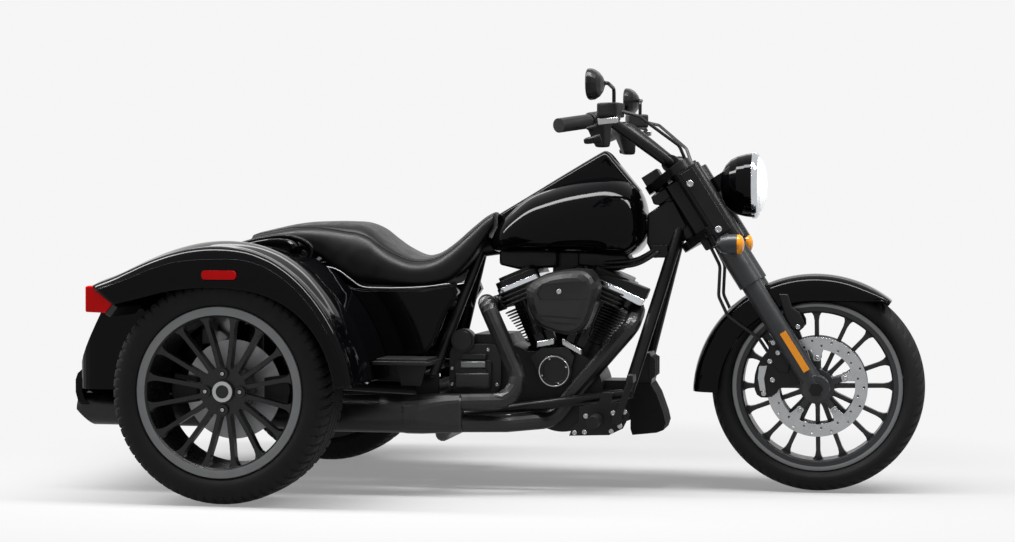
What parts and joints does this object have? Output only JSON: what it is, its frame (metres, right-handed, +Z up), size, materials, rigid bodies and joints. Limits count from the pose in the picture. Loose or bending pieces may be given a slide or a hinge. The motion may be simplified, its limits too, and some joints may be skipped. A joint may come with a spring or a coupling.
{
  "type": "motorized trike",
  "caption": "Three-wheel motorcycle with a raked fork, V-twin engine, stepped seat and wide rear fenders around a luggage body whose lid folds down.",
  "frame": {"origin": "on the ground under the middle of the bounding box", "axes": "+X forward along the vehicle, +Y to the rider's left, +Z up"},
  "size_m": [2.541, 1.395, 1.2541],
  "materials": {
    "gloss_black": "gloss",
    "satin_black": "satin",
    "engine_black": "satin",
    "wheel_grey": "satin",
    "chrome": "polished",
    "disc_steel": "brushed",
    "tyre_rubber": "matte",
    "grip_rubber": "matte",
    "seat_leather": "satin",
    "clear_lens": "clear",
    "amber_lens": "gloss",
    "red_lens": "gloss"
  },
  "bodies": {
    "chassis": {"frame": "satin_black", "crankcase": "engine_black", "cylinders": "engine_black", "cylinder_heads": "engine_black", "rocker_spacers": "chrome", "rocker_covers": "engine_black", "pushrod_tubes": "chrome", "air_cleaner": "engine_black", "timing_cover": "engine_black", "transmission_cover": "engine_black", "primary_cover": "engine_black", "exhaust": "satin_black", "fuel_tank": "gloss_black", "tank_console": "gloss_black", "seat": "seat_leather", "side_covers": "gloss_black", "trunk": "gloss_black", "apron_panels": "gloss_black", "fender_right": "gloss_black", "fender_left": "gloss_black", "tail_lamps": "red_lens", "side_markers": "red_lens", "bumper": "gloss_black", "rear_axle": "engine_black", "rear_calipers": "satin_black", "swingarm": "satin_black", "shocks": "satin_black", "belt_drive": "grip_rubber", "chin_cover": "satin_black", "regulator": "satin_black", "foot_controls": "satin_black", "passenger_boards": "satin_black"},
    "trunk_lid": {"trunk_door": "gloss_black"},
    "steering": {"triple_clamps": "satin_black", "fork_legs": "satin_black", "fork_covers": "satin_black", "headlamp_shell": "gloss_black", "headlamp_ring": "chrome", "headlamp_lens": "clear_lens", "turn_signals": "satin_black", "signal_lenses": "amber_lens", "front_fender": "gloss_black", "front_calipers": "satin_black", "front_axle": "disc_steel", "handlebar": "satin_black", "grips": "grip_rubber", "hand_controls": "satin_black", "mirrors": "satin_black", "fork_reflectors": "amber_lens", "brake_hoses": "grip_rubber"},
    "front_wheel": {"front_tyre": "tyre_rubber", "front_wheel": "wheel_grey", "front_discs": "disc_steel"},
    "rear_wheel_right": {"rear_tyre_right": "tyre_rubber", "rear_wheel_right": "wheel_grey", "rear_disc_right": "disc_steel"},
    "rear_wheel_left": {"rear_tyre_left": "tyre_rubber", "rear_wheel_left": "wheel_grey", "rear_disc_left": "disc_steel"}
  },
  "joints": [
    {"name": "steering_turn", "type": "hinge", "parent": "chassis", "child": "steering", "pos_m": [0.52575, 0, 0.84183], "axis": [-0.5299, 0, 0.848], "range_deg": [-35, 35]},
    {"name": "front_wheel_spin", "type": "hinge", "parent": "steering", "child": "front_wheel", "pos_m": [0.9515, 0, 0.319], "axis": [0, 1, 0], "continuous": true},
    {"name": "rear_wheel_right_spin", "type": "hinge", "parent": "chassis", "child": "rear_wheel_right", "pos_m": [-0.7185, -0.57, 0.325], "axis": [0, 1, 0], "continuous": true},
    {"name": "rear_wheel_left_spin", "type": "hinge", "parent": "chassis", "child": "rear_wheel_left", "pos_m": [-0.7185, 0.57, 0.325], "axis": [0, 1, 0], "continuous": true},
    {"name": "trunk_lid_turn", "type": "hinge", "parent": "chassis", "child": "trunk_lid", "pos_m": [-1.22683, 0, 0.39617], "axis": [0, -1, 0], "range_deg": [0, 100]}
  ]
}
